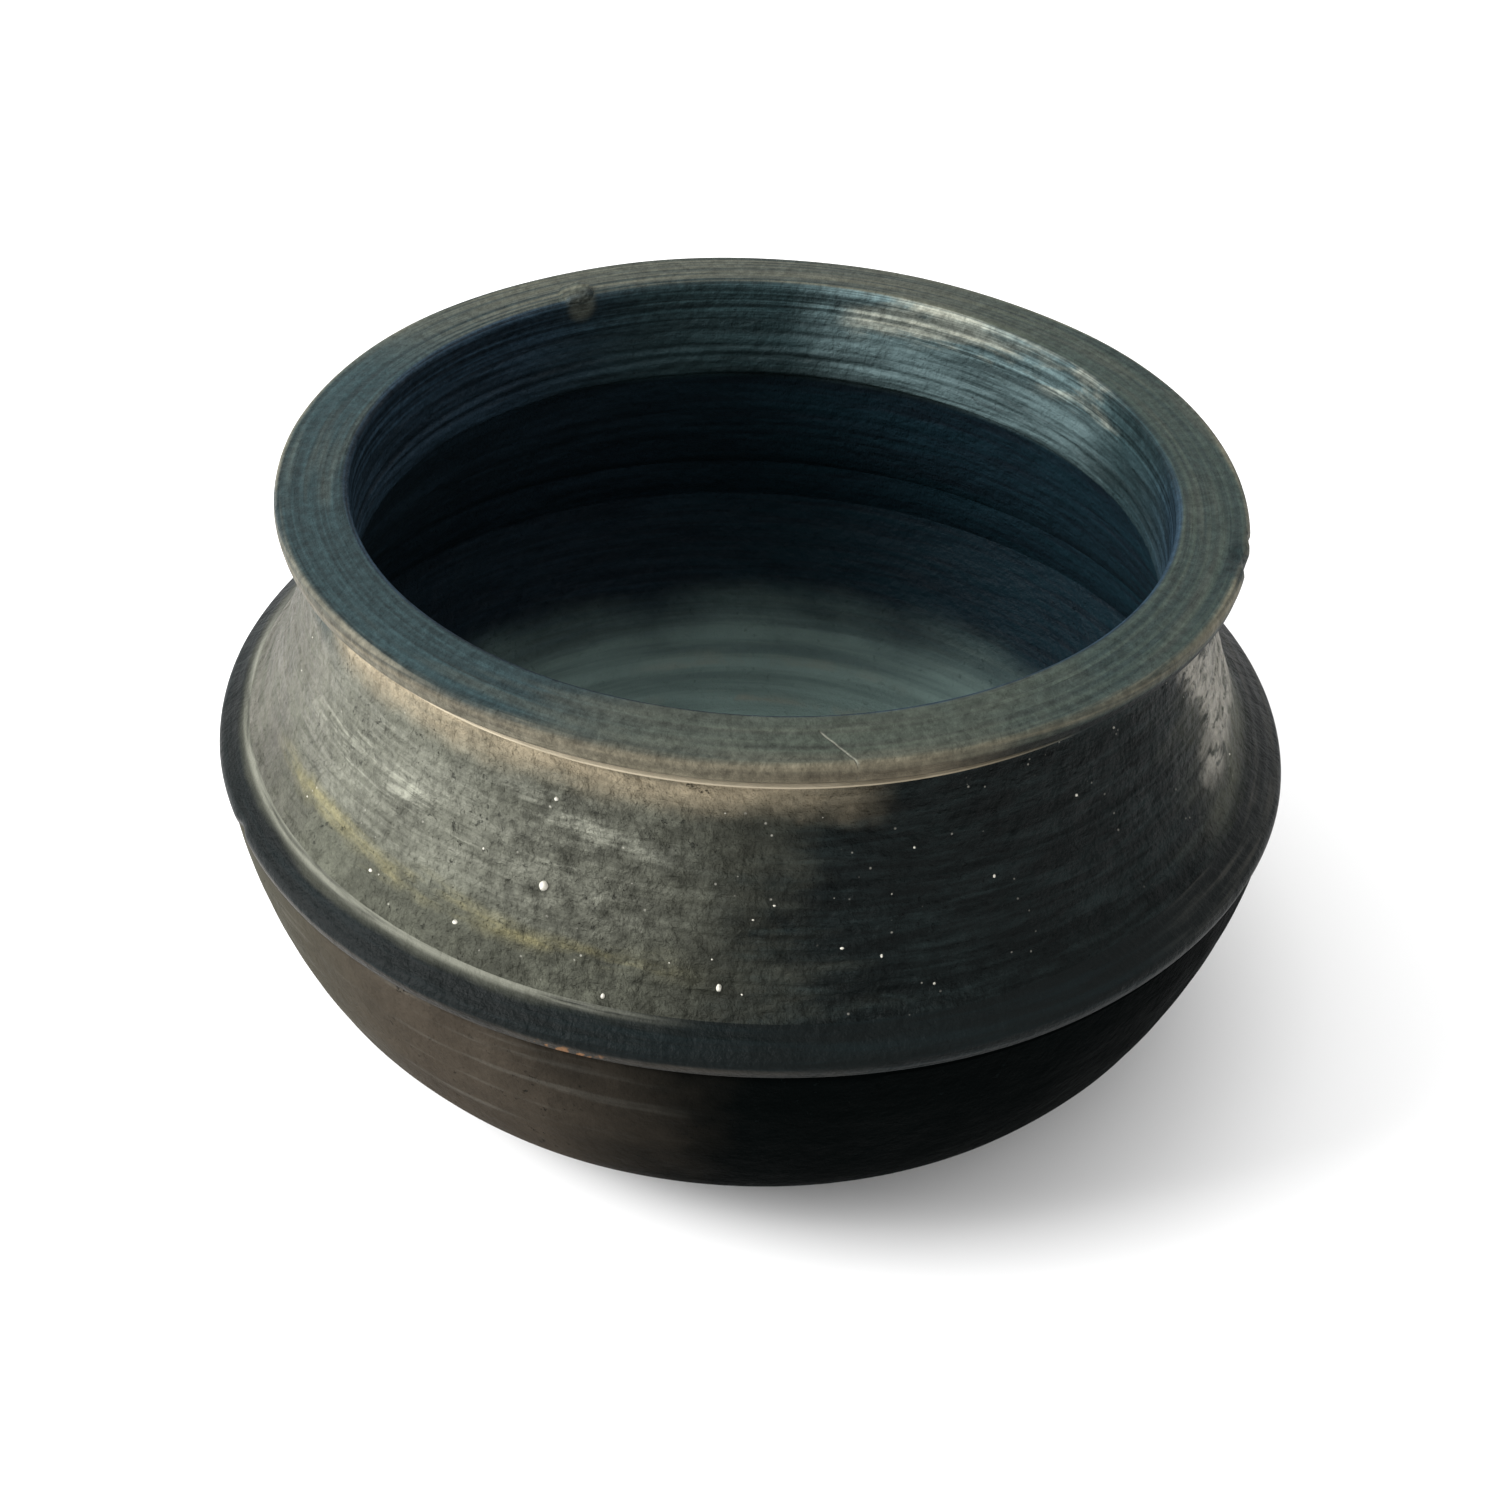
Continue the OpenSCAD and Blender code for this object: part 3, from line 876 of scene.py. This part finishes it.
def clay(maker):
    """A finish made once and shared by the pieces that have it."""
    name = maker.__name__
    return bpy.data.materials.get(name) or maker()


def place_piece(piece, node, outside, inside=None):
    """Finishes a piece: smooth shading, its clay, and its place on the pot's body."""
    select_only(piece)
    bpy.ops.object.shade_smooth_by_angle(angle=SHADE_ANGLE)
    piece.data.materials.clear()
    piece.data.materials.append(clay(outside))
    if inside:
        piece.data.materials.append(clay(inside))
        group = piece.vertex_groups["inside"].index
        within = [any(held.group == group and held.weight > 0.5 for held in vertex.groups)
                  for vertex in piece.data.vertices]
        for face in piece.data.polygons:
            face.material_index = int(any(within[i] for i in face.vertices))
    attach(piece, "root")
    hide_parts(node)


def hand_finish(piece, streaks=0.0, grain=0.0):
    """Gives a piece its uneven, hand-made surface."""
    if streaks:
        displace(piece, cloud_texture("streaks", 2.4 * MM), streaks, stretch=streak_space())
    if grain:
        displace(piece, cloud_texture("grain", 2.8 * MM), grain)
    wander(piece)
    lean(piece)


def turn_piece(node, runs, outside, inside=None, streaks=0.0, grain=0.0, dents=()):
    """Turns one ring of the pot, works its surface by hand and puts it in its place."""
    ring = turned_ring(node + "_clay", runs, sizes().turns)
    for place, reach, depth in dents:
        dent(ring, place, reach, depth)
    hand_finish(ring, streaks, grain)
    place_piece(ring, node, outside, inside)


# ---------------------------------------------------------------- operators

def sizes():
    return bpy.context.scene.clay_pot_sizes


def finish():
    return bpy.context.scene.clay_pot_finish


def colours():
    return bpy.context.scene.clay_pot_colours


class AddBase(bpy.types.Operator):
    """Add the base disc and the roll of clay over its joint"""

    bl_idname = "clay_pot.add_base"
    bl_label = "Base disc"

    def execute(self, context):
        s, o = sizes(), Outline(sizes())
        edge = o.base_joint[0]
        turn_piece("base_disc", [
            shown([Vector((0, 0)), Vector((edge.x - BASE_BEVEL, 0)), edge], 1.5 * MM),
            hidden(o.base_joint),
            shown([o.base_joint[1], Vector((0, o.floor))], 1.0 * MM,
                  lines=1, pitch=4 * MM, seed=3, inside=True),
        ], bowl_finish, inner_finish)
        outer = o.foot_c + polar(-COIL_EDGE, o.foot_r - s.wall)
        inner = Vector((o.base_r - COIL_REACH, o.floor))
        turn_piece("base_lute_coil", [
            hidden([inner, Vector((o.base_r, o.floor))]
                   + o.bowl_foot(s.wall, BASE_JOINT, COIL_EDGE, 3)),
            shown(swelling(outer, inner, Vector((0, COIL_SWELL)), 16), 0.8 * MM),
        ], inner_finish)
        return {"FINISHED"}


class AddBowl(bpy.types.Operator):
    """Add the deep bowl below the keel"""

    bl_idname = "clay_pot.add_bowl"
    bl_label = "Lower bowl"

    def execute(self, context):
        s, o = sizes(), Outline(sizes())
        edge = o.bowl_joint[0]
        turn_piece("lower_bowl", [
            shown([edge, edge + Vector((0.45 * MM, 0))] + o.bowl_side(0, SIDE, CORNER)
                  + o.bowl_corner(0, CORNER, FOOT) + o.bowl_foot(0, FOOT, BASE_JOINT),
                  1.5 * MM, lines=0.4, pitch=9 * MM, seed=5),
            hidden(o.base_joint),
            shown(o.bowl_foot(s.wall, BASE_JOINT, FOOT) + o.bowl_corner(s.wall, FOOT, CORNER)
                  + o.bowl_side(s.wall, CORNER, SIDE),
                  1.6 * MM, lines=0.7, pitch=6 * MM, seed=8, inside=True),
            hidden([o.side_c + polar(-SIDE, o.side_r - s.wall), o.bowl_joint[1], edge]),
        ], bowl_finish, inner_finish)
        return {"FINISHED"}


class AddKeel(bpy.types.Operator):
    """Add the keel band and the clay pressed in behind it"""

    bl_idname = "clay_pot.add_keel"
    bl_label = "Keel"

    def execute(self, context):
        s, o = sizes(), Outline(sizes())
        low = o.crest_c + polar(-KEEL_FACE, s.crest_radius)
        notch = around(NOTCH_AZIMUTH, s.keel_radius, s.keel_height - 1.5 * MM)
        turn_piece("keel_band", [
            shown(o.hollow(0, KEEL_JOINT, HOLLOW, 6)
                  + arc(o.crest_c, s.crest_radius, CREST, -KEEL_FACE, 14)
                  + [low + Vector((-0.3 * MM, -1.6 * MM)),
                     o.bowl_joint[0] + Vector((0.3 * MM, 0)), o.bowl_joint[0]],
                  0.35 * MM, lines=0.3, pitch=2.6 * MM, seed=11),
            hidden(o.bowl_joint),
            shown(o.hollow(s.wall, CREASE, FILLET), 1.2 * MM, inside=True),
            hidden([o.keel_joint[1], o.keel_joint[0]]),
        ], keel_finish, inner_finish, dents=[(notch, 4.5 * MM, 0.9 * MM)])
        top = o.fillet_c - polar(COIL_TOP, o.fillet_r + s.wall)
        low = o.side_c + polar(-COIL_LOW, o.side_r - s.wall)
        side = Vector((low.y - top.y, top.x - low.x)).normalized()
        turn_piece("keel_lute_coil", [
            hidden(o.hollow(s.wall, COIL_TOP, CREASE, 4)
                   + o.bowl_side(s.wall, SIDE, COIL_LOW, 3)),
            shown(swelling(low, top, side * CREASE_SWELL), 0.8 * MM),
        ], inner_finish)
        return {"FINISHED"}


class AddShoulder(bpy.types.Operator):
    """Add the hollow-sided shoulder"""

    bl_idname = "clay_pot.add_shoulder"
    bl_label = "Shoulder wall"

    def execute(self, context):
        s, f, o = sizes(), finish(), Outline(sizes())
        turn_piece("shoulder_wall", [
            shown(o.shoulder(0, COLLAR, FILLET) + o.hollow(0, FILLET, KEEL_JOINT),
                  0.45 * MM, lines=1, pitch=1.9 * MM, seed=21),
            hidden(o.keel_joint),
            shown(o.shoulder(s.wall, FILLET, COLLAR_INSIDE), 1.0 * MM,
                  lines=1.5, pitch=4 * MM, seed=23, inside=True),
            hidden([o.collar_joint[1], o.collar_joint[0]]),
        ], shoulder_finish, inner_finish, streaks=f.brush_mark * 1.3, grain=f.pit)
        return {"FINISHED"}


class AddNeck(bpy.types.Operator):
    """Add the neck collar and the fine ridge under the lip"""

    bl_idname = "clay_pot.add_neck"
    bl_label = "Neck"

    def execute(self, context):
        s, f, o = sizes(), finish(), Outline(sizes())
        throat = Vector((o.mouth_r + 0.3 * MM, s.height - s.throat))
        corner = throat + Vector((0.8 * MM, 0.8 * MM))
        bead_low = Vector((o.groove.x, o.groove.y - BEAD_HEIGHT))
        turn_piece("neck_collar", [
            shown([o.groove, bead_low] + o.shoulder(0, NECK, COLLAR),
                  0.45 * MM, lines=1, pitch=1.7 * MM, seed=31),
            hidden(o.collar_joint),
            shown([o.collar_joint[1], throat + Vector((0.8 * MM, 0))]
                  + arc(corner, 0.8 * MM, 260, 180, 5) + [o.rim_joint[1]],
                  0.4 * MM, lines=1.3, pitch=2.3 * MM, seed=33, inside=True),
            hidden([o.rim_joint[1], o.rim_joint[0]]),
        ], shoulder_finish, inner_finish, streaks=f.brush_mark, grain=f.pit)
        high = Vector((o.groove.x, o.groove.y - BEAD_GAP))
        turn_piece("neck_bead", [
            shown(swelling(bead_low, high, Vector((BEAD_HEIGHT, 0))), 0.35 * MM),
            hidden([high, bead_low]),
        ], bead_finish)
        return {"FINISHED"}


class AddRim(bpy.types.Operator):
    """Add the flat rim and the clay lump left on it"""

    bl_idname = "clay_pot.add_rim"
    bl_label = "Rim flange"

    def execute(self, context):
        s, o = sizes(), Outline(sizes())
        mouth = Vector((o.mouth_r + MOUTH_ROUND, s.height - MOUTH_ROUND))
        top = Vector((o.rim_r - LIP_ROUND, s.height - LIP_ROUND))
        under = Vector((top.x, s.height - s.lip_height + LIP_ROUND))
        chip = around(CHIP_AZIMUTH, o.rim_r - 0.4 * MM, s.height - 0.8 * MM)
        second_chip = around(SECOND_CHIP_AZIMUTH, o.rim_r, s.height - 2.2 * MM)
        turn_piece("rim_flange", [
            shown([o.rim_joint[1]] + arc(mouth, MOUTH_ROUND, 180, 90, 8)
                  + arc(top, LIP_ROUND, 90, 0, 6) + arc(under, LIP_ROUND, 0, -90, 6)
                  + [o.groove + Vector((2 * MM, 0.5 * MM)), o.groove],
                  0.4 * MM, lines=0.8, pitch=2.2 * MM, seed=41),
            hidden(o.rim_joint),
        ], rim_finish, dents=[(chip, 4.5 * MM, 1.1 * MM), (second_chip, 3 * MM, 0.9 * MM)])
        place = around(PELLET_AZIMUTH, o.mouth_r + PELLET_IN, s.height - 0.4 * MM)
        lump = rough_lump("rim_pellet_clay", place, 3.7 * MM, (0.95, 1.2, 0.62), 5)
        hand_finish(lump)
        place_piece(lump, "rim_pellet", rim_finish)
        return {"FINISHED"}


class AddGrains(bpy.types.Operator):
    """Add the quartz grains that show in the shoulder"""

    bl_idname = "clay_pot.add_grains"
    bl_label = "Quartz grains"

    def execute(self, context):
        o = Outline(sizes())
        draw = random.Random(77)
        stones = [(azimuth, height * MM, radius * MM) for azimuth, height, radius in GRAINS]
        for _ in range(20):
            stones.append((draw.gauss(-12, 34), draw.uniform(71, 108) * MM,
                           draw.uniform(0.13, 0.26) * MM))
        made = []
        for azimuth, height, radius in stones:
            place = around(azimuth, o.radius_at(height) - radius * 0.25, height)
            shape = [draw.uniform(0.75, 1.25) for _ in range(3)]
            made.append(rough_lump("grain", place, radius, shape, 2))
        deselect_all()
        for stone in made:
            stone.select_set(True)
        context.view_layer.objects.active = made[0]
        bpy.ops.object.join()
        grains = context.active_object
        grains.name = grains.data.name = "temper_grits_stone"
        hand_finish(grains)
        place_piece(grains, "temper_grits", grain_finish)
        return {"FINISHED"}


class AddStage(bpy.types.Operator):
    """Add the floor, the soft lights and the camera"""

    bl_idname = "clay_pot.add_stage"
    bl_label = "Stage"

    def execute(self, context):
        deselect_all()
        bpy.ops.mesh.primitive_plane_add(size=6, location=(0, 0, FLOOR_LOW.z))
        floor = context.active_object
        floor.name = "floor"
        bpy.ops.object.transform_apply(location=True, rotation=False, scale=False)
        paper = Glaze("floor_paper")
        paper.tone = paper.blend(paper.noise(paper.place, 3), (0.86,) * 3, (0.88,) * 3)
        floor.data.materials.append(paper.finish(0.9, gloss=0.1))

        world = bpy.data.worlds.new("studio_air")
        world.use_nodes = True
        air = world.node_tree.nodes["Background"]
        air.inputs["Color"].default_value = (1, 1, 1, 1)
        air.inputs["Strength"].default_value = 0.95
        context.scene.world = world

        lights = (
            ("key", (-0.92, -0.25, 0.66), 0.55, 20),
            ("top", (-0.15, 0.35, 1.30), 1.5, 11),
        )
        for name, place, size, power in lights:
            deselect_all()
            bpy.ops.object.light_add(type="AREA", location=place)
            lamp = context.active_object
            lamp.name = name
            lamp.data.size = size
            lamp.data.energy = power
            aim = Vector((0, 0, 0.06)) - Vector(place)
            lamp.rotation_euler = aim.to_track_quat("-Z", "Y").to_euler()

        deselect_all()
        bpy.ops.object.camera_add()
        camera = context.active_object
        camera.name = "camera"
        distance, elevation, roll = 0.4377, math.radians(37.46), math.radians(2.73)
        target = Vector((-0.00014, 0, 0.0480))
        turn = (Matrix.Rotation(math.pi / 2 - elevation, 4, "X")
                @ Matrix.Rotation(roll, 4, "Z"))
        camera.matrix_world = (Matrix.Translation(target) @ turn
                               @ Matrix.Translation((0, 0, distance)))
        camera.data.sensor_width = 36
        camera.data.lens = 46.2624
        camera.data.clip_start, camera.data.clip_end = 0.01, 20
        context.scene.camera = camera
        context.scene.view_settings.view_transform = "Standard"
        return {"FINISHED"}


class CLAY_POT_PT_panel(bpy.types.Panel):
    """Lists the pot's operators in the sidebar"""

    bl_idname = "CLAY_POT_PT_panel"
    bl_label = "Clay cooking pot"
    bl_space_type = "VIEW_3D"
    bl_region_type = "UI"
    bl_category = "Clay Pot"

    def draw(self, context):
        for operator in OPERATORS:
            self.layout.operator(operator.bl_idname)


OPERATORS = (AddBase, AddBowl, AddKeel, AddShoulder, AddNeck, AddRim, AddGrains, AddStage)
CLASSES = (ClayPotSizes, ClayPotFinish, ClayPotColours, *OPERATORS, CLAY_POT_PT_panel)


def register():
    for cls in CLASSES:
        bpy.utils.register_class(cls)
    bpy.types.Scene.clay_pot_sizes = PointerProperty(type=ClayPotSizes)
    bpy.types.Scene.clay_pot_finish = PointerProperty(type=ClayPotFinish)
    bpy.types.Scene.clay_pot_colours = PointerProperty(type=ClayPotColours)


def unregister():
    del bpy.types.Scene.clay_pot_colours
    del bpy.types.Scene.clay_pot_finish
    del bpy.types.Scene.clay_pot_sizes
    for cls in reversed(CLASSES):
        bpy.utils.unregister_class(cls)


def main():
    register()
    bpy.ops.clay_pot.add_base()
    bpy.ops.clay_pot.add_bowl()
    bpy.ops.clay_pot.add_keel()
    bpy.ops.clay_pot.add_shoulder()
    bpy.ops.clay_pot.add_neck()
    bpy.ops.clay_pot.add_rim()
    bpy.ops.clay_pot.add_grains()
    bpy.ops.clay_pot.add_stage()
    tidy_away_helpers()


if __name__ == "__main__":
    main()
